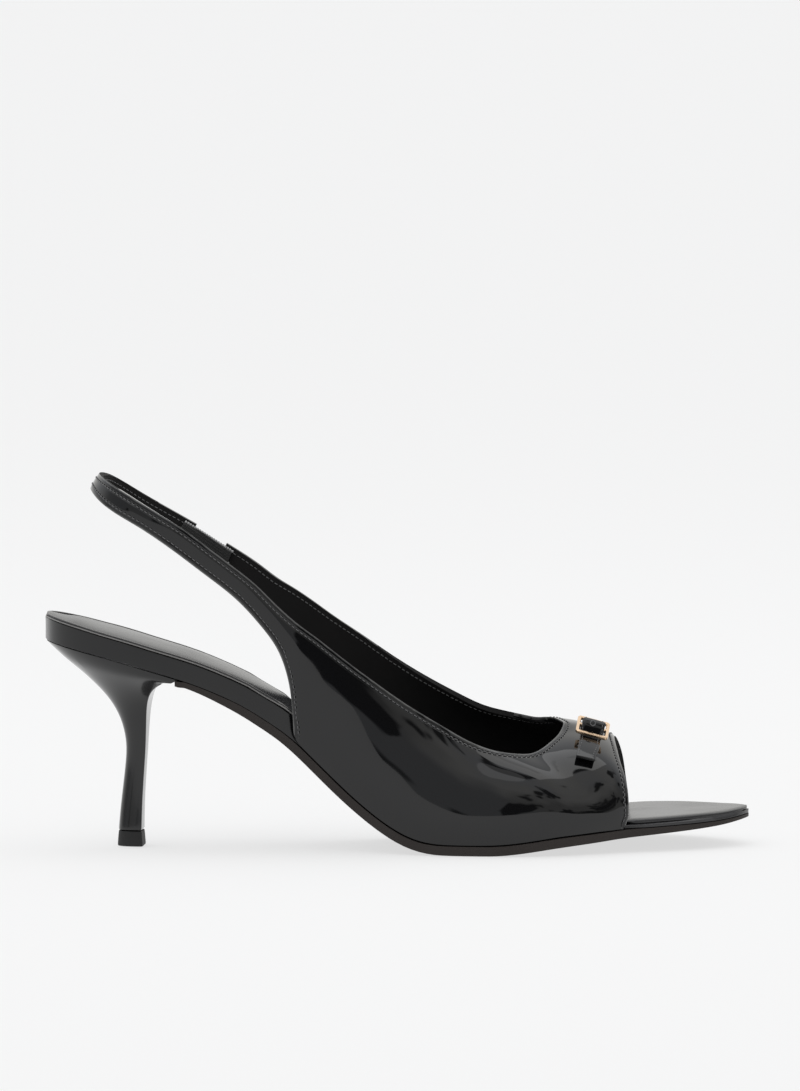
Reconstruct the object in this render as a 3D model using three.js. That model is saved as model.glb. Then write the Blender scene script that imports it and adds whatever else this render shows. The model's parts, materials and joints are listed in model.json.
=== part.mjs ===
// Peep-toe slingback sandal for the right foot, in black patent leather, on a flared heel.
// Millimetres. +X runs from the heel to the toe, -Y is the outer side of the foot, +Z is up, and the
// floor is Z = 0.
import * as THREE from "three";

// Driving sizes
const shoeLength = 239; // back of the seat to the tip of the sole
const ballWidth = 77; // across the ball
const heelHeight = 70; // floor to the featherline at the back of the seat
const toeSpring = 9.4; // floor to the tread at the tip
const strapHeight = 61; // featherline to the top of the sling at the back
const seam = 0.3; // between two pieces that are cemented or sewn together

const soleThickness = 3.3;
const boardThickness = 6.6; // covered insole board at the seat
const sockThickness = 1;
const sockInset = 0.7; // from the edge of the board
const padRise = 0.7; // the padded part of the sock above the rest
const padInset = 5; // from the edge of the sock to the full height of the pad
const seatEdge = 0.8; // how far the edge of the covered board is rounded, at the seat
const toeEdge = 2.2; // and at the toe
const seatCut = 0.07; // sliver left off the very back of the seat
const tipCut = 0.05; // and off the very tip

const upperWall = 1.8; // patent and lining, cemented
const upperInset = 0.4; // outside of the upper in from the edge of the sole
const bowLow = 0.85; // below 1, the wall of the upper is fullest below its middle
const bowRoundness = 2.2;

const seatLength = 46; // back of the seat to the breast of the heel
const seatRound = 30; // length of the round back of the seat
const toeRound = 41; // length of the round tip of the sole

const heelTurn = 5; // degrees, the breast faces a little outwards
const heelAxis = 0.66; // share of the seat length where the shaft stands
const heelBlend = 5; // rows below the seat over which that turn fades
const heelRunOut = 40; // how sharply the flat breast meets the round back under the seat
const topPieceHeight = 5.2;
const topPieceWidth = 9.8;
const topPieceFlare = 0.4;

const elasticThickness = 1.2;
const elasticLap = 0.4; // share of a row's length that each end runs on behind the upper
const elasticLow = 0.1; // shares of the height of the sling
const elasticHigh = 0.84;

const vampStrapWidth = 7.7;
const vampStrapThickness = 1.2;
const buckleLength = 11.2; // along the shoe
const buckleDepth = 10.6; // along the strap
const buckleWire = 1.2;
const buckleCorner = 1.1;
const buckleLift = 3.8; // middle of the frame above the vamp
const strapBulge = 0.8; // slack of the strap over the centre bar
const strapNarrowing = 0.14; // share of its width that the strap loses at its tip
const barRest = 0.9; // half the length over which the strap rests on a bar
const buckleTilt = 10.5; // degrees that the frame leans to the outer side, more than the vamp does
const tabWidth = 4;
const tabThickness = 0.9;
const edgeTrim = 0.2; // share of the thickness that comes off the edges of strap, tab and buckle

// Colours
const patentBlack = { color: 0x14151a, roughness: 0.12, metalness: 0 };
const sockBlack = { color: 0x17181b, roughness: 0.5, metalness: 0 };
const soleBlack = { color: 0x1b1614, roughness: 0.6, metalness: 0 };
const rubberBlack = { color: 0x101010, roughness: 0.7, metalness: 0 };
const elasticBlack = { color: 0x131313, roughness: 0.9, metalness: 0 };
const paleGold = { color: 0xe3b989, roughness: 0.25, metalness: 1 };

// The tread seen from the side. Columns: share of the length, share of the heel height, share of the
// toe spring, share of the sole thickness.
const treadRows = [
  [0, 0.98, 0, 0.57],
  [0.095, 0.904, 0, 0.57],
  [0.15, 0.848, 0, 0.58],
  [0.193, 0.803, 0, 0.58],
  [0.218, 0.77, 0, 0.62],
  [0.251, 0.714, 0, 0.76],
  [0.278, 0.663, 0, 0.88],
  [0.305, 0.604, 0, 0.91],
  [0.335, 0.533, 0, 0.91],
  [0.362, 0.449, 0, 0.91],
  [0.39, 0.354, 0, 0.91],
  [0.418, 0.262, 0, 0.92],
  [0.447, 0.176, 0, 0.93],
  [0.475, 0.104, 0, 0.93],
  [0.503, 0.046, 0, 0.95],
  [0.531, 0.012, 0, 0.97],
  [0.558, 0, 0, 1],
  [0.636, 0, 0, 1],
  [0.674, 0, 0.09, 1],
  [0.728, 0, 0.28, 1],
  [0.778, 0, 0.41, 0.94],
  [0.828, 0, 0.54, 0.85],
  [0.9, 0, 0.68, 0.67],
  [0.958, 0, 0.82, 0.5],
  [1, 0, 1, 0.36],
];

// The outline of the sole seen from above. Columns: share of the length, then shares of the ball
// width: middle line, reach to the outer side, reach to the inner side.
const planRows = [
  [0, 0.013, 0.312, 0.312],
  [0.126, -0.013, 0.312, 0.312],
  [0.193, -0.017, 0.303, 0.306],
  [0.272, -0.017, 0.284, 0.287],
  [0.356, -0.019, 0.279, 0.27],
  [0.439, -0.019, 0.318, 0.292],
  [0.523, -0.013, 0.403, 0.364],
  [0.607, 0.006, 0.481, 0.435],
  [0.67, 0.019, 0.504, 0.481],
  [0.72, 0.032, 0.494, 0.494],
  [0.774, 0.045, 0.445, 0.478],
  [0.828, 0.054, 0.366, 0.439],
  [0.9, 0.06, 0.338, 0.468],
  [1, 0.065, 0.338, 0.468],
];
const seatRoundness = 2.2;
const toeRoundness = 1.6;

// Columns: share of the length, share of the board thickness.
const boardRows = [
  [0, 1.12],
  [0.05, 1.06],
  [0.09, 1],
  [0.19, 0.97],
  [0.25, 0.93],
  [0.335, 0.94],
  [0.42, 0.76],
  [0.5, 0.53],
  [0.586, 0.3],
  [0.83, 0.29],
  [0.92, 0.28],
  [1, 0.2],
];
// Columns: share of the length, share of the pad rise.
const padRows = [
  [0, 0],
  [0.03, 0],
  [0.045, 1],
  [0.35, 1],
  [0.5, 0.3],
  [0.6, 0],
  [1, 0],
];

// The edges of the upper. Columns: top edge as shares of the length, ball width and strap height
// above the featherline, lower edge likewise, and how far the wall bows out, as a share of the
// ball width. A lower edge of null runs along the featherline.
const ridgeRow = [0.736, 0.013, 0.581, 0.808, 0.058, 0.47, 0.013];
const backRow = [0.077, 0, 0.993, 0.064, 0, 0.899, 0.003];
const outerRows = [
  [0.732, -0.052, 0.551, 0.811, -0.078, 0.425, 0.021],
  [0.726, -0.117, 0.528, 0.815, -0.188, 0.361, 0.034],
  [0.715, -0.182, 0.503, 0.822, -0.269, 0.277, 0.049],
  [0.703, -0.242, 0.482, 0.826, -0.312, 0.16, 0.065],
  [0.688, -0.29, 0.47, 0.82, null, null, 0.097],
  [0.665, -0.332, 0.487, 0.766, null, null, 0.097],
  [0.636, -0.356, 0.516, 0.699, null, null, 0.075],
  [0.6, -0.366, 0.569, 0.628, null, null, 0.055],
  [0.559, -0.368, 0.664, 0.556, null, null, 0.047],
  [0.513, -0.362, 0.734, 0.49, null, null, 0.044],
  [0.464, -0.356, 0.748, 0.423, null, null, 0.042],
  [0.423, -0.351, 0.73, 0.361, null, null, 0.039],
  [0.389, -0.348, 0.707, 0.353, -0.316, 0.074, 0.026],
  [0.36, -0.347, 0.678, 0.349, -0.329, 0.272, 0.016],
  [0.331, -0.351, 0.684, 0.334, -0.344, 0.433, 0.01],
  [0.303, -0.358, 0.724, 0.308, -0.357, 0.514, 0.005],
  [0.276, -0.368, 0.748, 0.272, -0.369, 0.586, 0.003],
  [0.241, -0.377, 0.79, 0.228, -0.379, 0.644, 0.003],
  [0.199, -0.379, 0.851, 0.182, -0.375, 0.717, 0.003],
  [0.155, -0.361, 0.902, 0.14, -0.353, 0.778, 0.003],
  [0.119, -0.325, 0.943, 0.107, -0.314, 0.811, 0.003],
  [0.095, -0.253, 0.969, 0.083, -0.244, 0.846, 0.003],
  [0.081, -0.143, 0.988, 0.069, -0.147, 0.883, 0.003],
];
const innerRows = [
  [0.731, 0.065, 0.591, 0.811, 0.156, 0.465, 0.021],
  [0.723, 0.117, 0.604, 0.817, 0.26, 0.41, 0.034],
  [0.712, 0.161, 0.609, 0.823, 0.353, 0.325, 0.049],
  [0.698, 0.203, 0.61, 0.828, 0.439, 0.19, 0.068],
  [0.68, 0.239, 0.63, 0.83, null, null, 0.104],
  [0.653, 0.273, 0.662, 0.778, null, null, 0.101],
  [0.621, 0.296, 0.697, 0.711, null, null, 0.091],
  [0.584, 0.312, 0.766, 0.636, null, null, 0.078],
  [0.54, 0.319, 0.851, 0.561, null, null, 0.065],
  [0.494, 0.325, 0.892, 0.49, null, null, 0.052],
  [0.45, 0.326, 0.885, 0.423, null, null, 0.043],
  [0.412, 0.327, 0.849, 0.358, null, null, 0.034],
  [0.381, 0.329, 0.817, 0.349, 0.292, 0.085, 0.023],
  [0.354, 0.331, 0.787, 0.345, 0.309, 0.286, 0.014],
  [0.328, 0.335, 0.768, 0.331, 0.327, 0.466, 0.009],
  [0.303, 0.342, 0.779, 0.303, 0.342, 0.563, 0.005],
  [0.28, 0.349, 0.785, 0.27, 0.351, 0.615, 0.003],
  [0.256, 0.356, 0.798, 0.24, 0.358, 0.646, 0.003],
];
// The inner side of the sling, from the end at the elastic to the back.
const slingRows = [
  [0.213, 0.362, 0.833, 0.197, 0.364, 0.702, 0.003],
  [0.176, 0.357, 0.868, 0.162, 0.357, 0.748, 0.003],
  [0.14, 0.334, 0.908, 0.127, 0.335, 0.788, 0.003],
  [0.11, 0.286, 0.95, 0.098, 0.288, 0.825, 0.003],
  [0.088, 0.188, 0.983, 0.076, 0.191, 0.86, 0.003],
];

// The strap over the vamp before and after its buckle. Columns: rows of the upper round from the
// ridge, share of the way up the wall, and height above the vamp in strap thicknesses.
const bucklePlace = [1.38, 0.505];
const strapStartRows = [
  [-3.4, 0.4, 0.75],
  [-2.8, 0.41, 0.75],
  [-2, 0.42, 0.75],
  [-1.2, 0.43, 0.78],
  [-0.4, 0.445, 0.95],
];
const strapTipRows = [
  [2.75, 0.515, 1.2],
  [3.2, 0.53, 1.4],
  [3.65, 0.535, 1.8],
];

// Where the wall of the upper starts and ends on the sole, as shares of the length, and the length
// over which the board turns in beside it.
const upperBehind = 0.349;
const outerAhead = 0.826;
const innerAhead = 0.832;
const upperTurn = 0.011;

// The heel from its tip up. Columns: back edge and breast edge as shares of the seat length, back
// and breast heights as shares of the heel height, half width as a share of the ball width, and
// roundness of the section.
const heelRows = [
  [0.537, 0.72, 0.079, 0.079, 0.064, 2.6],
  [0.55, 0.722, 0.187, 0.192, 0.058, 2.4],
  [0.575, 0.733, 0.323, 0.323, 0.055, 2.3],
  [0.594, 0.746, 0.436, 0.442, 0.055, 2.2],
  [0.594, 0.753, 0.517, 0.529, 0.061, 2.2],
  [0.557, 0.76, 0.62, 0.64, 0.083, 2.2],
  [0.478, 0.774, 0.713, 0.72, 0.13, 2.2],
  [0.37, 0.81, 0.79, 0.775, 0.19, 2.3],
  [0.255, 0.865, 0.861, 0.805, 0.25, 2.4],
  [0.13, 0.94, 0.925, 0.815, 0.293, 2.6],
];

// The tab from its inner to its outer foot. Columns: distance from the centre bar in mm, share of the
// way from the bar down to the vamp, and share of the lean of the buckle that it makes up for.
const tabRows = [
  [2.3, 1, 1],
  [1.6, 0.65, 1],
  [0.8, 0.2, 0],
  [0, 0, 0],
  [-0.8, 0.15, 0],
  [-1.6, 0.65, 0],
  [-2.3, 1, 1],
];

const nudge = 0.02; // of a row or of the wall's height, to find which way a surface faces

// Steps in which the pieces are laid out
const alongSteps = 52;
const acrossSteps = 10;
const heelSteps = 28;
const wallSteps = 8;
const elasticSteps = 8;
const strapSteps = 52;
const tabSteps = 16;
const stepsPerRow = 2;
const endEase = 0.75; // how much closer together the steps are at both ends
const slopeReach = shoeLength / 200; // to either side, to find how much a surface slopes

// A smooth curve through one column of a table, with no swing past its rows.
function track(rows, column) {
  const at = rows.map((row) => row[0]);
  const value = rows.map((row) => row[column]);
  const rise = at.slice(1).map((next, i) => (value[i + 1] - value[i]) / (next - at[i]));
  const slope = at.map((_, i) => {
    if (i === 0) return rise[0];
    if (i === at.length - 1) return rise[i - 1];
    const [before, after] = [rise[i - 1], rise[i]];
    return before * after <= 0 ? 0 : (2 * before * after) / (before + after);
  });
  return (share) => {
    let i = 0;
    while (i < at.length - 2 && share > at[i + 1]) i += 1;
    const span = at[i + 1] - at[i];
    const t = THREE.MathUtils.clamp((share - at[i]) / span, 0, 1);
    const [t2, t3] = [t * t, t * t * t];
    return (
      value[i] * (2 * t3 - 3 * t2 + 1) +
      value[i + 1] * (3 * t2 - 2 * t3) +
      span * (slope[i] * (t3 - 2 * t2 + t) + slope[i + 1] * (t3 - t2))
    );
  };
}

const treadHeel = track(treadRows, 1);
const treadSpring = track(treadRows, 2);
const treadThick = track(treadRows, 3);
const planMiddle = track(planRows, 1);
const planOuter = track(planRows, 2);
const planInner = track(planRows, 3);
const boardThick = track(boardRows, 1);
const padShare = track(padRows, 1);

// Underside of the sole at a distance from the back.
function tread(x) {
  return heelHeight * treadHeel(x / shoeLength) + toeSpring * treadSpring(x / shoeLength);
}

// How much longer a plumb line through a sloping layer is than its thickness.
function slant(x) {
  const rise = (tread(x + slopeReach) - tread(x - slopeReach)) / (2 * slopeReach);
  return Math.hypot(1, rise);
}

// Where the upper or the board meets the sole.
function feather(x) {
  return tread(x) + soleThickness * treadThick(x / shoeLength) * slant(x);
}

// Share of the full width that the round ends of the sole leave.
function roundEnds(x) {
  const back = Math.max(0, (seatRound - x) / seatRound);
  const front = Math.max(0, (x - shoeLength + toeRound) / toeRound);
  return (
    Math.pow(Math.max(0, 1 - Math.pow(back, seatRoundness)), 1 / seatRoundness) *
    Math.pow(Math.max(0, 1 - Math.pow(front, toeRoundness)), 1 / toeRoundness)
  );
}

function outerEdge(x) {
  const share = x / shoeLength;
  return ballWidth * (planMiddle(share) - planOuter(share) * roundEnds(x));
}

function innerEdge(x) {
  const share = x / shoeLength;
  return ballWidth * (planMiddle(share) + planInner(share) * roundEnds(x));
}

// Distances from the back, closer together near both ends.
function stations(from, to, steps) {
  return Array.from({ length: steps + 1 }, (_, i) => {
    const even = i / steps;
    const eased = (1 - Math.cos(Math.PI * even)) / 2;
    return from + (to - from) * THREE.MathUtils.lerp(even, eased, endEase);
  });
}

function smooth(value, low, high) {
  return THREE.MathUtils.smoothstep(value, low, high);
}

// A closed geometry from points and triangles, facing outwards.
function closed(points, triangles) {
  let volume = 0;
  const cross = new THREE.Vector3();
  for (const [a, b, c] of triangles) volume += cross.crossVectors(points[b], points[c]).dot(points[a]);
  const facing = volume < 0 ? triangles.map(([a, b, c]) => [a, c, b]) : triangles;
  const geometry = new THREE.BufferGeometry();
  geometry.setAttribute("position", new THREE.Float32BufferAttribute(points.flatMap((p) => p.toArray()), 3));
  geometry.setIndex(facing.flat());
  return geometry;
}

// A solid through rings with as many points each, closed by a fan at both ends.
function loft(rings) {
  const count = rings[0].length;
  const points = rings.flat();
  const triangles = [];
  for (let r = 0; r < rings.length - 1; r += 1) {
    for (let k = 0; k < count; k += 1) {
      const [a, b] = [r * count + k, r * count + ((k + 1) % count)];
      triangles.push([a, b, b + count], [a, b + count, a + count]);
    }
  }
  for (const [ring, start, flip] of [
    [rings[0], 0, true],
    [rings.at(-1), (rings.length - 1) * count, false],
  ]) {
    const middle = ring.reduce((sum, p) => sum.add(p), new THREE.Vector3()).divideScalar(count);
    const hub = points.push(middle) - 1;
    for (let k = 0; k < count; k += 1) {
      const [a, b] = [start + k, start + ((k + 1) % count)];
      triangles.push(flip ? [hub, b, a] : [hub, a, b]);
    }
  }
  return closed(points, triangles);
}

// A solid between two sheets of points laid out alike, with a rim round them.
function shell(front, back) {
  const [rows, columns] = [front.length, front[0].length];
  const points = [...front.flat(), ...back.flat()];
  const at = (side, r, c) => side * rows * columns + r * columns + c;
  const triangles = [];
  const quad = (a, b, c, d) => triangles.push([a, b, c], [a, c, d]);
  for (let r = 0; r < rows - 1; r += 1) {
    for (let c = 0; c < columns - 1; c += 1) {
      quad(at(0, r, c), at(0, r, c + 1), at(0, r + 1, c + 1), at(0, r + 1, c));
      quad(at(1, r, c), at(1, r + 1, c), at(1, r + 1, c + 1), at(1, r, c + 1));
    }
    quad(at(0, r, 0), at(0, r + 1, 0), at(1, r + 1, 0), at(1, r, 0));
    quad(at(0, r + 1, columns - 1), at(0, r, columns - 1), at(1, r, columns - 1), at(1, r + 1, columns - 1));
  }
  for (let c = 0; c < columns - 1; c += 1) {
    quad(at(0, 0, c + 1), at(0, 0, c), at(1, 0, c), at(1, 0, c + 1));
    quad(at(0, rows - 1, c), at(0, rows - 1, c + 1), at(1, rows - 1, c + 1), at(1, rows - 1, c));
  }
  return closed(points, triangles);
}

// How much of a step across the sole leads straight away from its edge, which is little where the
// edge turns round the tip or the seat.
function awayFromEdge(x) {
  const halfWidth = (at) => (innerEdge(at) - outerEdge(at)) / 2;
  const slope = (halfWidth(x + slopeReach) - halfWidth(x - slopeReach)) / (2 * slopeReach);
  return 1 / Math.hypot(1, slope);
}

// What the rounded edge of the insole takes off the height, at a distance in from the edge.
function edgeDrop(x, inward) {
  const radius = THREE.MathUtils.lerp(seatEdge, toeEdge, smooth(x / shoeLength, 0.5, 0.75));
  const short = Math.max(0, 1 - inward / radius);
  return radius * (1 - Math.sqrt(1 - short * short));
}

// A flat layer of the bottom: a ring for each station, between a low and a high surface.
function layer({ from, to, outset, low, high }) {
  const rings = stations(from, to, alongSteps).map((x) => {
    const [left, right] = [outerEdge(x) - outset(x, -1), innerEdge(x) + outset(x, 1)];
    const middle = (left + right) / 2;
    const half = Math.max((right - left) / 2, seam);
    const ring = [-1, -0.5, 0, 0.5, 1].map(
      (k) => new THREE.Vector3(x, middle + half * k, low(x)),
    );
    for (let i = 0; i <= acrossSteps; i += 1) {
      const y = half * Math.cos((Math.PI * i) / acrossSteps);
      const inward = (half - Math.abs(y)) * awayFromEdge(x);
      ring.push(new THREE.Vector3(x, middle + y, high(x, inward)));
    }
    return ring;
  });
  return loft(rings);
}

// The outer surface of the upper is a ring of rows round the foot: the ridge of the vamp, the outer
// side, the back, the inner side of the sling, and the inner side back to the ridge.
const ringRows = [
  ridgeRow,
  ...outerRows,
  backRow,
  ...[...slingRows].reverse(),
  ...[...innerRows].reverse(),
];
const slingEnd = outerRows.length + 1 + slingRows.length;
const quarterEnd = slingEnd + 1;

function edgePoint(along, aside, rise) {
  const x = along * shoeLength;
  return new THREE.Vector3(x, aside * ballWidth, feather(x) + rise * strapHeight);
}

function featherPoint(x, side) {
  const edge = side < 0 ? outerEdge(x) + upperInset : innerEdge(x) - upperInset;
  return new THREE.Vector3(x, edge, feather(x) + seam / 2);
}

const topCurve = new THREE.CatmullRomCurve3(
  ringRows.map((row) => edgePoint(row[0], row[1], row[2])),
  true,
  "catmullrom",
  0.5,
);
const lowCurve = new THREE.CatmullRomCurve3(
  ringRows.map((row) =>
    row[4] === null ? featherPoint(row[3] * shoeLength, row[1]) : edgePoint(row[3], row[4], row[5]),
  ),
  true,
  "catmullrom",
  0.5,
);
const bowCurve = new THREE.CatmullRomCurve3(
  ringRows.map((row) => new THREE.Vector3(row[6] * ballWidth, 0, 0)),
  true,
  "catmullrom",
  0.5,
);

// The lower edge, held to the featherline wherever both rows beside it are.
function lowEdge(place) {
  const count = ringRows.length;
  const point = lowCurve.getPoint(place / count);
  const before = ringRows[Math.floor(place) % count];
  const after = ringRows[Math.ceil(place) % count];
  if (before[4] !== null || after[4] !== null) return point;
  return featherPoint(point.x, before[1]);
}

// How full the wall is between its lower and its top edge, fullest a little below the middle.
function fullness(up) {
  return 1 - Math.pow(Math.abs(2 * Math.pow(up, bowLow) - 1), bowRoundness);
}

// A point of the outer surface, a number of rows round and a share of the way up.
function wallPoint(turns, up) {
  const count = ringRows.length;
  const place = ((turns % count) + count) % count;
  const low = lowEdge(place);
  const top = topCurve.getPoint(place / count);
  const chord = top.clone().sub(low);
  const middle = low.clone().lerp(top, 0.5);
  const axis = new THREE.Vector3(
    middle.x,
    ballWidth * planMiddle(middle.x / shoeLength),
    feather(middle.x) + (middle.z - feather(middle.x)) / 3,
  );
  const out = middle.sub(axis);
  out.addScaledVector(chord, -out.dot(chord) / chord.lengthSq()).normalize();
  const bow = bowCurve.getPoint(place / count).x;
  return low.lerp(top, up).addScaledVector(out, bow * fullness(up));
}

// A sheet of points on the outer surface, or at a depth inside it.
function wallSheet(from, to, steps, lowest, highest, depth) {
  return Array.from({ length: steps + 1 }, (_, r) => {
    const place = from + ((to - from) * r) / steps;
    return Array.from({ length: wallSteps + 1 }, (_, c) => {
      const up = THREE.MathUtils.lerp(lowest, highest, c / wallSteps);
      const point = wallPoint(place, up);
      if (depth === 0) return point;
      const round = wallPoint(Math.min(place + nudge, to), up).sub(
        wallPoint(Math.max(place - nudge, from), up),
      );
      const rise = wallPoint(place, Math.min(up + nudge, 1)).sub(
        wallPoint(place, Math.max(up - nudge, 0)),
      );
      const normal = round.cross(rise).normalize();
      point.addScaledVector(normal, depth);
      point.z = Math.max(point.z, feather(point.x) + seam / 2);
      return point;
    });
  });
}

function upperGeometry() {
  const count = ringRows.length;
  const from = quarterEnd;
  const to = count + slingEnd;
  const steps = (to - from) * stepsPerRow;
  return shell(
    wallSheet(from, to, steps, 0, 1, 0),
    wallSheet(from, to, steps, 0, 1, upperWall),
  );
}

function elasticGeometry() {
  const from = slingEnd - elasticLap;
  const to = quarterEnd + elasticLap;
  const depth = upperWall + seam;
  return shell(
    wallSheet(from, to, elasticSteps, elasticLow, elasticHigh, depth),
    wallSheet(from, to, elasticSteps, elasticLow, elasticHigh, depth + elasticThickness),
  );
}

// How far a layer of the bottom stands in from the edge of the sole: out to the edge in front of
// and behind the upper, and inside the wall of the upper elsewhere.
const wallRoom = upperInset + upperWall + seam;
function boardOutset(x, side) {
  const [behind, ahead, turn] = [
    upperBehind * shoeLength,
    (side < 0 ? outerAhead : innerAhead) * shoeLength,
    upperTurn * shoeLength,
  ];
  const covered = smooth(x, behind - turn, behind) * (1 - smooth(x, ahead, ahead + turn));
  return -wallRoom * covered;
}

function boardTop(x) {
  return feather(x) + boardThickness * boardThick(x / shoeLength) * slant(x);
}

// Top of the sock where it has no padding.
function sockTop(x) {
  return boardTop(x) + seam + sockThickness * slant(x);
}

function outsoleGeometry() {
  return layer({
    from: seatLength,
    to: shoeLength - tipCut,
    outset: () => 0,
    low: tread,
    high: (x) => feather(x) - seam / 2,
  });
}

function boardGeometry() {
  return layer({
    from: seatCut,
    to: shoeLength - 2 * tipCut,
    outset: boardOutset,
    low: (x) => feather(x) + seam / 2,
    high: (x, inward) => Math.min(boardTop(x), sockTop(x) - edgeDrop(x, inward)),
  });
}

function sockGeometry() {
  return layer({
    from: sockInset,
    to: shoeLength - sockInset,
    outset: (x, side) => boardOutset(x, side) - sockInset,
    low: (x) => boardTop(x) + seam,
    high: (x, inward) => {
      const pad = padRise * padShare(x / shoeLength) * smooth(inward, padInset / 4, padInset);
      return sockTop(x) + pad - edgeDrop(x, inward + sockInset);
    },
  });
}

// A flat-fronted, round-backed ring of the heel.
function heelRing({ back, breast, backHeight, breastHeight, outer, inner, roundness }) {
  return Array.from({ length: heelSteps + 1 }, (_, i) => {
    const angle = (Math.PI * i) / heelSteps;
    const reach = Math.pow(Math.sin(angle), 2 / roundness);
    const width = Math.sign(Math.cos(angle)) * Math.pow(Math.abs(Math.cos(angle)), 2 / roundness);
    const x = breast - (breast - back) * reach;
    const y = width < 0 ? outer * -width : inner * width;
    return new THREE.Vector3(x, y, THREE.MathUtils.lerp(breastHeight, backHeight, reach));
  });
}

const heelMiddle = ballWidth * planMiddle((heelAxis * seatLength) / shoeLength);

function turnedRing(ring, pivot) {
  const turn = new THREE.Matrix4().makeRotationZ(THREE.MathUtils.degToRad(-heelTurn));
  return ring.map((p) => p.sub(pivot).applyMatrix4(turn).add(pivot));
}

function heelGeometry() {
  const rings = heelRows.map(([back, breast, backHeight, breastHeight, half, roundness], i) => {
    const reach = half * ballWidth;
    const ring = heelRing({
      back: back * seatLength,
      breast: breast * seatLength,
      backHeight: i === 0 ? topPieceHeight + seam : backHeight * heelHeight,
      breastHeight: i === 0 ? topPieceHeight + seam : breastHeight * heelHeight,
      outer: heelMiddle - reach,
      inner: heelMiddle + reach,
      roundness,
    });
    const free = 1 - smooth(i, heelRows.length - heelBlend, heelRows.length - 1);
    const pivot = new THREE.Vector3((back + breast) * 0.5 * seatLength, heelMiddle, 0);
    const turned = turnedRing(ring.map((p) => p.clone()), pivot);
    return ring.map((p, k) => p.lerp(turned[k], free));
  });
  const breastTop = seatLength - seam;
  const seat = Array.from({ length: heelSteps + 1 }, (_, i) => {
    const angle = (Math.PI * i) / heelSteps;
    const x = breastTop - (breastTop - seam) * Math.pow(Math.sin(angle), 2 / 3);
    const side = Math.cos(angle) > 0 ? innerEdge(x) - seam : outerEdge(x) + seam;
    const toEdge = Math.min(1, Math.abs(Math.cos(angle)) * heelRunOut);
    const y = THREE.MathUtils.lerp(heelMiddle, side, toEdge);
    return new THREE.Vector3(x, y, feather(x) - seam / 2);
  });
  return loft([...rings, seat]);
}

function topPieceGeometry() {
  const [back, breast] = [heelRows[0][0] * seatLength, heelRows[0][1] * seatLength];
  const pivot = new THREE.Vector3((back + breast) * 0.5, heelMiddle, 0);
  const rings = [0, topPieceHeight].map((height) => {
    const spread = topPieceFlare * (1 - height / topPieceHeight);
    const half = topPieceWidth / 2 + spread;
    const ring = heelRing({
      back: back - spread,
      breast: breast + spread,
      backHeight: height,
      breastHeight: height,
      outer: heelMiddle - half,
      inner: heelMiddle + half,
      roundness: heelRows[0][5],
    });
    return turnedRing(ring, pivot);
  });
  return loft(rings);
}

// Where something sits on the outer surface: the point and the way out.
function wallSeat(place, up) {
  const round = wallPoint(place + nudge, up).sub(wallPoint(place - nudge, up));
  const rise = wallPoint(place, up + nudge).sub(wallPoint(place, up - nudge));
  return { point: wallPoint(place, up), out: rise.cross(round).normalize() };
}

// The frame of the buckle: x to the toe, y across to the inner side, z out of the vamp.
function buckleFrame() {
  const { point, out } = wallSeat(...bucklePlace);
  const toToe = new THREE.Vector3(out.z, 0, -out.x).normalize();
  const lean = THREE.MathUtils.degToRad(buckleTilt);
  const up = out.clone().applyAxisAngle(toToe, lean);
  const across = up.clone().cross(toToe);
  const frame = new THREE.Matrix4().makeBasis(toToe, across, up);
  return frame.setPosition(point.clone().addScaledVector(out, buckleLift));
}

// A flat strip along a curve, with its flat side square to the ways out that are given for it.
function strip({ points, ways, width, thickness, steps, narrowing = 0 }) {
  const path = new THREE.CatmullRomCurve3(points);
  const out = new THREE.CatmullRomCurve3(ways);
  const rings = Array.from({ length: steps + 1 }, (_, i) => {
    const middle = path.getPoint(i / steps);
    const along = path.getTangent(i / steps);
    const side = out.getPoint(i / steps).cross(along).normalize();
    const face = along.cross(side).normalize();
    const half = (width / 2) * (1 - narrowing * smooth(i / steps, 0.6, 1));
    const [deep, trim] = [thickness / 2, thickness * edgeTrim];
    return [
      [half - trim, deep],
      [half, deep - trim],
      [half, trim - deep],
      [half - trim, -deep],
      [trim - half, -deep],
      [-half, trim - deep],
      [-half, deep - trim],
      [trim - half, deep],
    ].map(([a, b]) => middle.clone().addScaledVector(side, a).addScaledVector(face, b));
  });
  return loft(rings);
}

// The strap lies on the inner half of the vamp, runs under the inner bar of the buckle, over its
// centre bar and under its outer bar, and ends in a free tip above the outer half.
function vampStrapGeometry() {
  const frame = buckleFrame();
  const out = new THREE.Vector3().setFromMatrixColumn(frame, 2);
  const under = buckleWire / 2 + vampStrapThickness / 2 + seam;
  const barAway = (buckleDepth - buckleWire) / 2;
  const onVamp = ([place, up, lift]) => {
    const seat = wallSeat(place, up);
    return [seat.point.addScaledVector(seat.out, lift * vampStrapThickness), seat.out];
  };
  const inBuckle = [
    [barAway + barRest, -under],
    [barAway - barRest, -under],
    [barRest, under + strapBulge],
    [-barRest, under + strapBulge],
    [barRest - barAway, -under],
    [-barRest - barAway, -under],
  ].map(([across, height]) => [new THREE.Vector3(0, across, height).applyMatrix4(frame), out]);
  const stops = [...strapStartRows.map(onVamp), ...inBuckle, ...strapTipRows.map(onVamp)];
  return strip({
    points: stops.map((stop) => stop[0]),
    ways: stops.map((stop) => stop[1]),
    width: vampStrapWidth,
    thickness: vampStrapThickness,
    steps: strapSteps,
    narrowing: strapNarrowing,
  });
}

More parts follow.
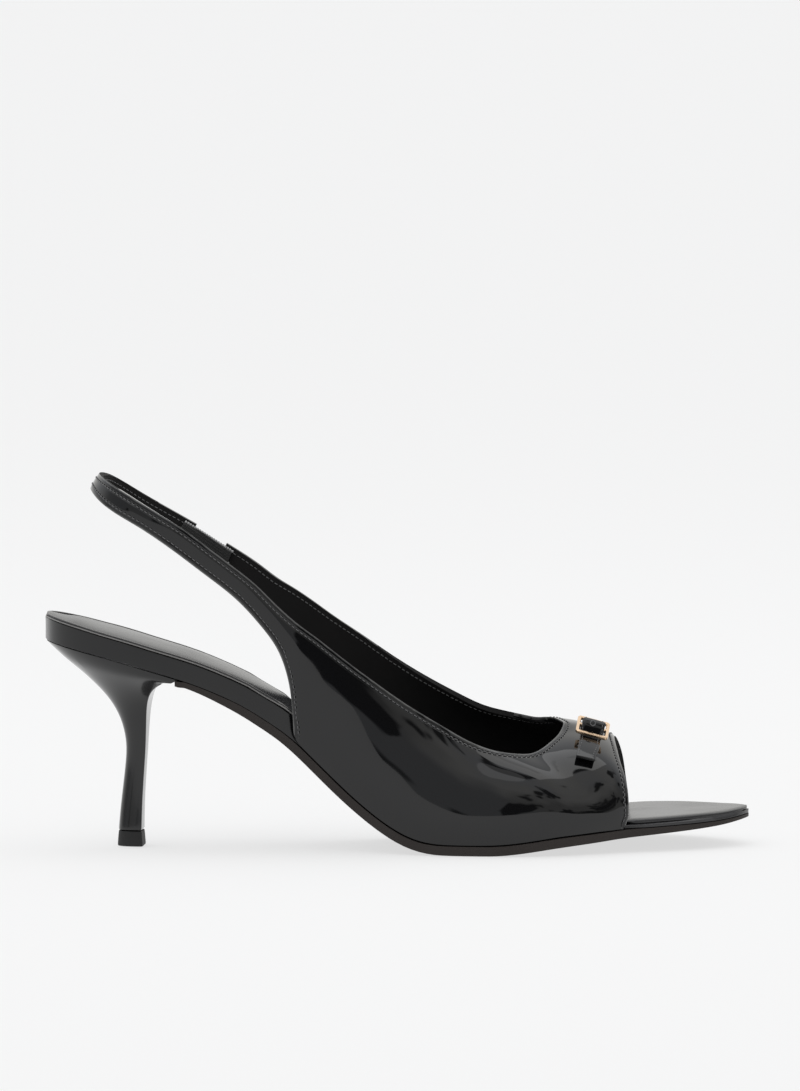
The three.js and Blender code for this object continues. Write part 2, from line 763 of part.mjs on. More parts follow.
// An arch under the centre bar of the buckle, with both feet on the vamp.
function tabGeometry() {
  const frame = buckleFrame();
  const out = new THREE.Vector3().setFromMatrixColumn(frame, 2);
  const under = buckleWire / 2 + tabThickness / 2 + seam;
  const foot = buckleLift - tabThickness / 2 - seam;
  const lean = Math.tan(THREE.MathUtils.degToRad(buckleTilt));
  const points = tabRows.map(([across, down, level]) => {
    const height = -THREE.MathUtils.lerp(under, foot, down) - across * level * lean;
    return new THREE.Vector3(0, across, height).applyMatrix4(frame);
  });
  const ways = points.map(() => out);
  return strip({ points, ways, width: tabWidth, thickness: tabThickness, steps: tabSteps });
}

function roundedRectangle(kind, length, depth, corner, middle = 0) {
  const [x, y] = [length / 2, depth / 2];
  const outline = new kind();
  outline.moveTo(-x + corner, middle - y);
  outline.lineTo(x - corner, middle - y);
  outline.absarc(x - corner, middle - y + corner, corner, -Math.PI / 2, 0, false);
  outline.lineTo(x, middle + y - corner);
  outline.absarc(x - corner, middle + y - corner, corner, 0, Math.PI / 2, false);
  outline.lineTo(-x + corner, middle + y);
  outline.absarc(-x + corner, middle + y - corner, corner, Math.PI / 2, Math.PI, false);
  outline.lineTo(-x, middle - y + corner);
  outline.absarc(-x + corner, middle - y + corner, corner, Math.PI, 1.5 * Math.PI, false);
  return outline;
}

// The frame of the buckle, with a window on each side of its centre bar.
function buckleGeometry() {
  const outline = roundedRectangle(THREE.Shape, buckleLength, buckleDepth, buckleCorner);
  const window = (buckleDepth - 3 * buckleWire) / 2;
  for (const side of [-1, 1]) {
    outline.holes.push(
      roundedRectangle(
        THREE.Path,
        buckleLength - 2 * buckleWire,
        window,
        buckleCorner / 4,
        (side * (window + buckleWire)) / 2,
      ),
    );
  }
  const bevel = buckleWire * edgeTrim;
  const geometry = new THREE.ExtrudeGeometry(outline, {
    depth: buckleWire - 2 * bevel,
    bevelEnabled: true,
    bevelThickness: bevel,
    bevelSize: bevel,
    bevelOffset: -bevel,
    bevelSegments: 1,
    curveSegments: 4,
  });
  return geometry.translate(0, 0, bevel - buckleWire / 2);
}

function piece(name, geometry, finish) {
  const mesh = new THREE.Mesh(geometry, new THREE.MeshStandardMaterial(finish));
  mesh.name = name;
  return mesh;
}

const shoe = new THREE.Group();
shoe.add(
  piece("outsole", outsoleGeometry(), soleBlack),
  piece("heel", heelGeometry(), patentBlack),
  piece("top_piece", topPieceGeometry(), rubberBlack),
  piece("insole_board", boardGeometry(), patentBlack),
  piece("insole_sock", sockGeometry(), sockBlack),
  piece("upper", upperGeometry(), patentBlack),
  piece("elastic_gore", elasticGeometry(), elasticBlack),
  piece("vamp_strap", vampStrapGeometry(), patentBlack),
  piece("buckle_tab", tabGeometry(), patentBlack),
);

const buckle = new THREE.Group();
buckle.applyMatrix4(buckleFrame());
buckle.add(piece("buckle", buckleGeometry(), paleGold));
shoe.add(buckle);

// The origin is on the floor, under the middle of the shoe.
const extent = new THREE.Box3().setFromObject(shoe);
shoe.position.set(-(extent.min.x + extent.max.x) / 2, -(extent.min.y + extent.max.y) / 2, 0);

const part = new THREE.Group();
part.add(shoe);
export default part;
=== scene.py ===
"""A peep-toe slingback sandal in black patent leather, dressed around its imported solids.

Metres, in the frame of the solids: +X runs from the heel to the toe, -Y is the outer side of the
foot and +Z is up.
"""

import json
import logging
import math
from dataclasses import dataclass, field
from enum import Enum
from typing import Callable, Iterable, Optional

import bmesh
import bpy
import numpy as np
from mathutils import Matrix, Vector, noise
from mathutils.bvhtree import BVHTree
from mathutils.kdtree import KDTree

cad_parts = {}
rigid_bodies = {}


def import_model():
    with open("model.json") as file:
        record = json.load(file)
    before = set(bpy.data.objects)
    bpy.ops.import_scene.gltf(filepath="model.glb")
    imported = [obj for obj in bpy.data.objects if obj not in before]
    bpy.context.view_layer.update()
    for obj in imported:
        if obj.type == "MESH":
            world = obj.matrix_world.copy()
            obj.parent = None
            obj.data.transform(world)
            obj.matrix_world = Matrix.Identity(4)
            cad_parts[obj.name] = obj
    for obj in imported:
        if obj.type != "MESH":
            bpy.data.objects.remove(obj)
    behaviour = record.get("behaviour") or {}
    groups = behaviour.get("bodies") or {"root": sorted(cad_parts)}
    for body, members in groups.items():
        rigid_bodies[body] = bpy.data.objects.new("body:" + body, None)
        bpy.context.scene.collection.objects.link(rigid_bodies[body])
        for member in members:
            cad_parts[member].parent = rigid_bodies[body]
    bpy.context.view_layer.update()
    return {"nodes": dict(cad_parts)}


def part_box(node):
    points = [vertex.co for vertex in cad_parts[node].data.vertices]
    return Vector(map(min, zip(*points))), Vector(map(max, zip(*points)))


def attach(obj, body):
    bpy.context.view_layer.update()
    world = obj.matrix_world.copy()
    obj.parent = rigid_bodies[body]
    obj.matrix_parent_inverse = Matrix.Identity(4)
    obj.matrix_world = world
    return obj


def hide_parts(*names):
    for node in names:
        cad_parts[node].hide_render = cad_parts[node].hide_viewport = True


logging.basicConfig(level=logging.INFO, format="%(levelname)s %(message)s")
log = logging.getLogger("sandal")

BODY = "root"
MM = 0.001
UP = Vector((0.0, 0.0, 1.0))


class Slot(Enum):
    """The material slots of the record."""

    PATENT = "patent"
    PATENT_HEEL = "patent_heel"
    SOCK = "sock"
    SOLE = "sole"
    RUBBER = "rubber"
    ELASTIC = "elastic"
    PALE_GOLD = "pale_gold"


# Small helpers around Blender's operators


def deselect_all() -> None:
    """Deselects every object."""
    for other in bpy.context.scene.objects:
        other.select_set(False)


def activate(piece: bpy.types.Object) -> None:
    """Selects one object alone and makes it the active one.

    Args:
        piece: the object to select.
    """
    deselect_all()
    piece.select_set(True)
    bpy.context.view_layer.objects.active = piece


def apply_modifiers(piece: bpy.types.Object) -> None:
    """Applies every modifier of a piece, in order.

    Args:
        piece: the object whose modifiers are applied.
    """
    activate(piece)
    for modifier in list(piece.modifiers):
        bpy.ops.object.modifier_apply(modifier=modifier.name)


def place_in_mesh(piece: bpy.types.Object) -> None:
    """Moves an object's place into its mesh, so that the object sits at the origin."""
    activate(piece)
    bpy.ops.object.transform_apply(location=True, rotation=True, scale=True)


def merged_copy(node: bpy.types.Object, name: str) -> bpy.types.Object:
    """Copies a CAD node's mesh into a new object, with its loose triangles joined.

    Args:
        node: the CAD node.
        name: the new object's name.

    Returns:
        The new object, with a mesh of its own and no materials.
    """
    piece = bpy.data.objects.new(name, node.data.copy())
    bpy.context.scene.collection.objects.link(piece)
    piece.data.name = name
    piece.data.materials.clear()
    activate(piece)
    bpy.ops.object.mode_set(mode="EDIT")
    bpy.ops.mesh.customdata_custom_splitnormals_clear()
    bpy.ops.mesh.select_all(action="SELECT")
    bpy.ops.mesh.remove_doubles(threshold=0.01 * MM)
    bpy.ops.mesh.tris_convert_to_quads(face_threshold=math.radians(40), shape_threshold=math.radians(60))
    bpy.ops.object.mode_set(mode="OBJECT")
    return piece


def finish_piece(
    piece: bpy.types.Object,
    slot: Slot,
    materials: Iterable[bpy.types.Material],
    nodes: tuple[str, ...] = (),
) -> None:
    """Gives a piece its materials and body, and hides the solids that it stands for.

    Args:
        piece: the finished object.
        slot: the record's slot that it takes its finish from; not used.
        materials: its materials in the order of its faces' material numbers.
        nodes: the CAD nodes that it replaces.
    """
    numbers = [polygon.material_index for polygon in piece.data.polygons]
    piece.data.materials.clear()
    for material in materials:
        piece.data.materials.append(material)
    piece.data.polygons.foreach_set("material_index", numbers)
    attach(piece, BODY)
    if nodes:
        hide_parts(*nodes)
    log.info("%s: %d faces", piece.name, len(piece.data.polygons))


# Finishes


def node_group(
    name: str, inputs: dict[str, tuple[str, float]], outputs: dict[str, str]
) -> bpy.types.NodeTree:
    """Makes an empty shader node group with named sockets.

    Args:
        name: the group's name.
        inputs: for each input its kind of socket and its usual value.
        outputs: for each output its kind of socket.

    Returns:
        The group's node tree, with its input and output nodes in place.
    """
    tree = bpy.data.node_groups.new(name, "ShaderNodeTree")
    for label, (kind, value) in inputs.items():
        socket = tree.interface.new_socket(name=label, in_out="INPUT", socket_type=kind)
        if kind == "NodeSocketFloat":
            socket.default_value = value
    for label, kind in outputs.items():
        tree.interface.new_socket(name=label, in_out="OUTPUT", socket_type=kind)
    tree.nodes.new("NodeGroupInput").name = "in"
    tree.nodes.new("NodeGroupOutput").name = "out"
    return tree


@dataclass
class Wiring:
    """Adds nodes to one node tree and links them."""

    tree: bpy.types.NodeTree

    def add(self, kind: str, links: Optional[dict] = None, **settings) -> bpy.types.Node:
        """Adds a node.

        Args:
            kind: the node's type.
            links: for each input, by name or number, a socket to link or a value to set.
            settings: attributes to set on the node.

        Returns:
            The new node.
        """
        node = self.tree.nodes.new(kind)
        for key, value in settings.items():
            setattr(node, key, value)
        for key, value in (links or {}).items():
            socket = node.inputs[key]
            if isinstance(value, bpy.types.NodeSocket):
                self.tree.links.new(value, socket)
            else:
                socket.default_value = value
        return node

    def math(self, operation: str, a, b=0.0) -> bpy.types.NodeSocket:
        """Adds a Math node and returns its output."""
        return self.add("ShaderNodeMath", {0: a, 1: b}, operation=operation).outputs[0]

    def span(self, value, low: float, high: float, to_low: float = 0.0, to_high: float = 1.0):
        """Maps a value from one range to another smoothly and returns the output."""
        links = {"Value": value, 1: low, 2: high, 3: to_low, 4: to_high}
        node = self.add("ShaderNodeMapRange", links, interpolation_type="SMOOTHSTEP")
        return node.outputs[0]

    def noise(self, place, scale: float, detail: float = 2.0, stretch=(1.0, 1.0, 1.0)):
        """Adds a noise over places in metres and returns its value, about 0.5 on average."""
        mapping = self.add("ShaderNodeMapping", {"Vector": place, "Scale": stretch})
        links = {"Vector": mapping.outputs[0], "Scale": scale, "Detail": detail, "Roughness": 0.5}
        return self.add("ShaderNodeTexNoise", links).outputs[0]


class SurfaceGroups:
    """The node groups that more than one finish of the sandal uses."""

    def __init__(self) -> None:
        """Builds the groups."""
        self.waviness = self._waviness()
        self.dust = self._dust()

    def _waviness(self) -> bpy.types.NodeTree:
        """Leather that was pulled over a last: long shallow waves and a faint skin grain."""
        sockets = {
            "Place": ("NodeSocketVector", 0.0),
            "Wave": ("NodeSocketFloat", 1.0),
            "Grain": ("NodeSocketFloat", 1.0),
        }
        tree = node_group("pulled_leather", sockets, {"Height": "NodeSocketFloat"})
        wire = Wiring(tree)
        inputs = tree.nodes["in"].outputs
        long_waves = wire.noise(inputs["Place"], 38.0, 1.0, (1.0, 1.0, 1.6))
        short_waves = wire.noise(inputs["Place"], 120.0, 1.0)
        grain = wire.noise(inputs["Place"], 2600.0, 2.0)
        waves = wire.math("ADD", long_waves, wire.math("MULTIPLY", short_waves, 0.16))
        wave_part = wire.math("MULTIPLY", waves, inputs["Wave"])
        grain_part = wire.math("MULTIPLY", grain, inputs["Grain"])
        height = wire.math("ADD", wave_part, wire.math("MULTIPLY", grain_part, 0.004))
        tree.links.new(height, tree.nodes["out"].inputs["Height"])
        return tree

    def _dust(self) -> bpy.types.NodeTree:
        """Fine dust and handling haze, as specks and clouds of noise over the whole surface."""
        sockets = {
            "Place": ("NodeSocketVector", 0.0),
            "Amount": ("NodeSocketFloat", 1.0),
        }
        tree = node_group("fine_dust", sockets, {"Mask": "NodeSocketFloat"})
        wire = Wiring(tree)
        inputs = tree.nodes["in"].outputs
        specks = wire.span(wire.noise(inputs["Place"], 900.0, 3.0), 0.62, 0.8)
        clouds = wire.span(wire.noise(inputs["Place"], 60.0, 3.0), 0.35, 0.75)
        spots = wire.math("ADD", wire.math("MULTIPLY", specks, 0.6), clouds)
        mask = wire.math("MULTIPLY", spots, inputs["Amount"])
        tree.links.new(mask, tree.nodes["out"].inputs["Mask"])
        return tree


@dataclass(frozen=True)
class Finish:
    """A finish of one kind of surface."""

    name: str
    color: tuple[float, float, float]
    roughness: float
    haze: float = 0.0
    metallic: float = 0.0
    coat: float = 0.0
    coat_roughness: float = 0.03
    specular: float = 0.5
    sheen: float = 0.0
    wave: float = 0.0
    grain: float = 0.0
    depth: float = 0.2 * MM
    variation: float = 0.15

    def start(self) -> tuple[bpy.types.Material, Wiring, bpy.types.Node, bpy.types.NodeSocket]:
        """Makes the material with its shader and its places.

        Returns:
            The material, its wiring, its Principled shader and the socket of object coordinates.
        """
        material = bpy.data.materials.new(self.name)
        material.use_nodes = True
        tree = material.node_tree
        shader = tree.nodes["Principled BSDF"]
        shader.inputs["Base Color"].default_value = (*self.color, 1.0)
        shader.inputs["Roughness"].default_value = self.roughness
        shader.inputs["Metallic"].default_value = self.metallic
        shader.inputs["Coat Weight"].default_value = self.coat
        shader.inputs["Coat Roughness"].default_value = self.coat_roughness
        shader.inputs["Specular IOR Level"].default_value = self.specular
        shader.inputs["Sheen Weight"].default_value = self.sheen
        wire = Wiring(tree)
        place = wire.add("ShaderNodeTexCoord").outputs["Object"]
        return material, wire, shader, place

    def tint(
        self,
        wire: Wiring,
        shader: bpy.types.Node,
        place: bpy.types.NodeSocket,
        groups: SurfaceGroups,
    ) -> None:
        """Varies the colour and the roughness a little over the surface."""
        cloud = wire.noise(place, 55.0, 3.0)
        low = tuple(c * (1.0 - self.variation) for c in self.color)
        high = tuple(c * (1.0 + self.variation) for c in self.color)
        mix = wire.add("ShaderNodeMix", {0: cloud, 6: (*low, 1.0), 7: (*high, 1.0)}, data_type="RGBA")
        wire.tree.links.new(mix.outputs[2], shader.inputs["Base Color"])
        dust = wire.add("ShaderNodeGroup", node_tree=groups.dust)
        wire.tree.links.new(place, dust.inputs["Place"])
        dust.inputs["Amount"].default_value = self.haze
        rough = wire.math("ADD", dust.outputs["Mask"], self.roughness)
        wire.tree.links.new(rough, shader.inputs["Roughness"])

    def bumps(self, wire: Wiring, shader: bpy.types.Node, height: bpy.types.NodeSocket) -> None:
        """Feeds a height, as a share of the finish's depth, to the shader's normal."""
        bump = wire.add("ShaderNodeBump", {"Height": height, "Strength": 1.0, "Distance": self.depth})
        wire.tree.links.new(bump.outputs[0], shader.inputs["Normal"])

    def build(self, groups: SurfaceGroups, extra: Optional[Callable] = None) -> bpy.types.Material:
        """Builds the finish.

        Args:
            groups: the shared node groups.
            extra: gives a further height from the wiring and the places.

        Returns:
            The material.
        """
        material, wire, shader, place = self.start()
        self.tint(wire, shader, place, groups)
        pulled = wire.add("ShaderNodeGroup", node_tree=groups.waviness)
        wire.tree.links.new(place, pulled.inputs["Place"])
        pulled.inputs["Wave"].default_value = self.wave
        pulled.inputs["Grain"].default_value = self.grain
        height = pulled.outputs["Height"]
        if extra is not None:
            height = wire.math("ADD", height, extra(wire, place))
        self.bumps(wire, shader, height)
        return material


# Seams and threads


@dataclass(frozen=True)
class Trail:
    """Points along a surface, with the way out of the surface at each."""

    points: tuple[Vector, ...]
    outs: tuple[Vector, ...]

    def length(self) -> float:
        """The trail's length in metres."""
        return sum((b - a).length for a, b in zip(self.points, self.points[1:]))

    def at(self, distance: float) -> tuple[Vector, Vector, Vector]:
        """Finds the point, way out and way on at a distance along the trail.

        Args:
            distance: metres from the trail's start.

        Returns:
            The point, the unit vector out of the surface and the unit vector along the trail.
        """
        left = distance
        for a, b, out_a, out_b in zip(self.points, self.points[1:], self.outs, self.outs[1:]):
            span = (b - a).length
            if left <= span and span > 0:
                share = left / span
                return a.lerp(b, share), out_a.lerp(out_b, share).normalized(), (b - a).normalized()
            left -= span
        a, b = self.points[-2], self.points[-1]
        return b.copy(), self.outs[-1].copy(), (b - a).normalized()


def joined_instances(name: str, seed: bpy.types.Object, places: list[Matrix]) -> bpy.types.Object:
    """Copies a small modelled piece to many places, in one mesh.

    Args:
        name: the new object's name.
        seed: the modelled piece, which is removed.
        places: a matrix for each copy.

    Returns:
        The object that holds all the copies.
    """
    base = np.array([v.co for v in seed.data.vertices], float)
    faces = [tuple(p.vertices) for p in seed.data.polygons]
    points: list[np.ndarray] = []
    all_faces: list[tuple[int, ...]] = []
    for i, matrix in enumerate(places):
        m = np.array(matrix, float)
        points.append(base @ m[:3, :3].T + m[:3, 3])
        offset = i * len(base)
        all_faces.extend(tuple(v + offset for v in face) for face in faces)
    mesh = bpy.data.meshes.new(name)
    mesh.from_pydata(np.vstack(points).tolist(), [], all_faces)
    mesh.update()
    piece = bpy.data.objects.new(name, mesh)
    bpy.context.scene.collection.objects.link(piece)
    bpy.data.objects.remove(seed)
    for polygon in mesh.polygons:
        polygon.use_smooth = True
    return piece


@dataclass(frozen=True)
class Thread:
    """A machine-sewn thread: one stitch modelled once and repeated along a trail."""

    pitch: float = 1.75 * MM
    share: float = 0.76
    thickness: float = 0.38 * MM
    proud: float = 0.1 * MM

    def stitch(self) -> bpy.types.Object:
        """Models one stitch: a short rod along X whose ends dip into their holes.

        Returns:
            The stitch at the origin.
        """
        deselect_all()
        bpy.ops.mesh.primitive_cylinder_add(
            vertices=6,
            radius=self.thickness / 2,
            depth=self.pitch * self.share,
            end_fill_type="NGON",
            rotation=(0.0, math.pi / 2, 0.0),
        )
        rod = bpy.context.object
        place_in_mesh(rod)
        bpy.ops.object.mode_set(mode="EDIT")
        half = self.pitch * self.share / 2
        for x in (-half * 0.55, half * 0.55):
            bpy.ops.mesh.select_all(action="SELECT")
            bpy.ops.mesh.bisect(plane_co=(x, 0, 0), plane_no=(1, 0, 0))
        bpy.ops.object.mode_set(mode="OBJECT")
        for vertex in rod.data.vertices:
            reach = abs(vertex.co.x) / half
            vertex.co.z -= self.thickness * 0.75 * max(0.0, reach - 0.5) * 2
            if reach > 0.9:
                vertex.co.y *= 0.6
        return rod

    def sew(self, name: str, trails: list[Trail]) -> bpy.types.Object:
        """Sews the thread along trails.

        Args:
            name: the name of the piece.
            trails: the lines to sew along.

        Returns:
            One object that holds all the stitches.
        """
        places: list[Matrix] = []
        for trail in trails:
            total = trail.length()
            count = max(1, int(total / self.pitch))
            for i in range(count):
                point, out, along = trail.at((i + 0.5) * total / count)
                side = out.cross(along).normalized()
                up = along.cross(side).normalized()
                matrix = Matrix((along, side, up)).transposed().to_4x4()
                matrix.translation = point + up * self.proud
                places.append(matrix)
        return joined_instances(name, self.stitch(), places)


def smooth_loop(points: list[Vector], spacing: float, closed: bool = True) -> list[Vector]:
    """Resamples a line of points evenly.

    Args:
        points: the line.
        spacing: metres between the new points.
        closed: whether the line returns to its start.

    Returns:
        The new points.
    """
    line = points + [points[0]] if closed else points
    array = np.array(line, float)
    steps = np.linalg.norm(np.diff(array, axis=0), axis=1)
    run = np.concatenate([[0.0], np.cumsum(steps)])
    count = max(2, int(run[-1] / spacing))
    at = np.linspace(0.0, run[-1], count + 1)
    if closed:
        at = at[:-1]
    return [Vector([np.interp(d, run, array[:, k]) for k in range(3)]) for d in at]


def boundary_loops(piece: bpy.types.Object, sharper: float) -> list[list[int]]:
    """Chains the sharp edges of a mesh into closed loops.

    Args:
        piece: the object.
        sharper: the angle in degrees that an edge has to exceed.

    Returns:
        For each loop its vertex numbers in order, the longest loop first.
    """
    mesh = bmesh.new()
    mesh.from_mesh(piece.data)
    mesh.verts.ensure_lookup_table()
    limit = math.radians(sharper)
    neighbours: dict[int, list[int]] = {}
    for edge in mesh.edges:
        if len(edge.link_faces) == 2 and edge.calc_face_angle() > limit:
            a, b = edge.verts[0].index, edge.verts[1].index
            neighbours.setdefault(a, []).append(b)
            neighbours.setdefault(b, []).append(a)
    mesh.free()
    loops: list[list[int]] = []
    seen: set[int] = set()
    for start in neighbours:
        if start in seen:
            continue
        loop = [start]
        seen.add(start)
        while True:
            onward = [n for n in neighbours[loop[-1]] if n not in seen]
            if not onward:
                break
            loop.append(onward[0])
            seen.add(onward[0])
        loops.append(loop)
    return sorted(loops, key=len, reverse=True)


# Shapes that several pieces need


def smooth_regions(piece: bpy.types.Object, sharper: float) -> list[list[int]]:
    """Splits a mesh's faces at its sharp edges.

    Args:
        piece: the object.
        sharper: the angle in degrees past which an edge parts two regions.

    Returns:
        For each region its face numbers, the region with the largest area first.
    """
    mesh = bmesh.new()
    mesh.from_mesh(piece.data)
    mesh.faces.ensure_lookup_table()
    limit = math.radians(sharper)
    seen: set[int] = set()
    regions: list[tuple[float, list[int]]] = []
    for first in mesh.faces:
        if first.index in seen:
            continue
        seen.add(first.index)
        queue, region, area = [first], [], 0.0
        while queue:
            face = queue.pop()
            region.append(face.index)
            area += face.calc_area()
            for edge in face.edges:
                if len(edge.link_faces) != 2 or edge.calc_face_angle() > limit:
                    continue
                for other in edge.link_faces:
                    if other.index not in seen:
                        seen.add(other.index)
                        queue.append(other)
        regions.append((area, region))
    mesh.free()
    return [region for _, region in sorted(regions, key=lambda item: -item[0])]


def rounded(piece: bpy.types.Object, sharper: float, radius: float, segments: int, levels: int) -> None:
    """Rounds the sharp edges of a piece and smooths the rest.

    Args:
        piece: the object.
        sharper: the angle in degrees past which an edge is rounded.
        radius: metres taken off at each edge.
        segments: faces across each rounded edge.
        levels: how often the whole is subdivided.
    """
    activate(piece)
    bpy.ops.object.mode_set(mode="EDIT")
    bpy.ops.mesh.select_mode(type="EDGE")
    bpy.ops.mesh.select_all(action="DESELECT")
    bpy.ops.mesh.edges_select_sharp(sharpness=math.radians(sharper))
    bpy.ops.mesh.bevel(offset=radius, segments=segments, affect="EDGES", clamp_overlap=True)
    bpy.ops.object.mode_set(mode="OBJECT")
    if levels:
        subdivision = piece.modifiers.new("round", "SUBSURF")
        subdivision.levels = subdivision.render_levels = levels
        apply_modifiers(piece)
    activate(piece)
    bpy.ops.object.shade_smooth()


def surface_tree(piece: bpy.types.Object) -> BVHTree:
    """A search tree over a piece's faces."""
    vertices = [v.co.copy() for v in piece.data.vertices]
    faces = [tuple(f.vertices) for f in piece.data.polygons]
    return BVHTree.FromPolygons(vertices, faces)


def tube(name: str, points: list[Vector], radius: float, closed: bool, sides: int = 2) -> bpy.types.Object:
    """Makes a thin round tube along points.

    Args:
        name: the object's name.
        points: the line that it follows.
        radius: the tube's radius.
        closed: whether it returns to its start.
        sides: the curve's bevel resolution.

    Returns:
        The tube as a mesh.
    """
    curve = bpy.data.curves.new(name, "CURVE")
    curve.dimensions = "3D"
    curve.bevel_depth = radius
    curve.bevel_resolution = sides
    curve.use_fill_caps = not closed
    spline = curve.splines.new("POLY")
    spline.points.add(len(points) - 1)
    for slot, point in zip(spline.points, points):
        slot.co = (*point, 1.0)
    spline.use_cyclic_u = closed
    piece = bpy.data.objects.new(name, curve)
    bpy.context.scene.collection.objects.link(piece)
    activate(piece)
    bpy.ops.object.convert(target="MESH")
    piece = bpy.context.object
    bpy.ops.object.mode_set(mode="EDIT")
    bpy.ops.mesh.select_all(action="SELECT")
    bpy.ops.mesh.remove_doubles(threshold=0.002 * MM)
    bpy.ops.mesh.normals_make_consistent(inside=False)
    bpy.ops.object.mode_set(mode="OBJECT")
    bpy.ops.object.shade_smooth()
    return piece


@dataclass(frozen=True)
class Crease:
    """A soft trough or ridge that was worked into the leather along a line."""

    line: tuple[tuple[float, float, float], ...]
    depth: float
    width: float

    def push(self, point: Vector) -> float:
        """How far a point of the surface moves out, in metres."""
        nearest = 1.0
        share = 0.0
        stops = [Vector(p) for p in self.line]
        for i, (a, b) in enumerate(zip(stops, stops[1:])):
            along = (b - a).dot(point - a) / (b - a).length_squared
            held = min(1.0, max(0.0, along))
            distance = (a.lerp(b, held) - point).length
            if distance < nearest:
                nearest = distance
                share = (i + held) / (len(stops) - 1)
        fade = math.sin(math.pi * min(1.0, max(0.0, share * 0.9 + 0.05)))
        return -self.depth * fade * math.exp(-((nearest / self.width) ** 2))


def pulled(piece: bpy.types.Object, depth: float, length: float, only: Callable[[Vector], float]) -> None:
    """Gives a skin the long shallow waves of leather that was pulled over a last.

    Args:
        piece: the object.
        depth: how far the waves stand out.
        length: metres between two waves.
        only: the share of the waves at a point.
    """
    offsets: list[Vector] = []
    for vertex in piece.data.vertices:
        place = vertex.co / length
        wave = noise.noise(place) + 0.4 * noise.noise(place * 2.3 + Vector((7.0, 3.0, 1.0)))
        offsets.append(vertex.normal * (depth * wave * only(vertex.co)))
    for vertex, offset in zip(piece.data.vertices, offsets):
        vertex.co += offset


# The upper


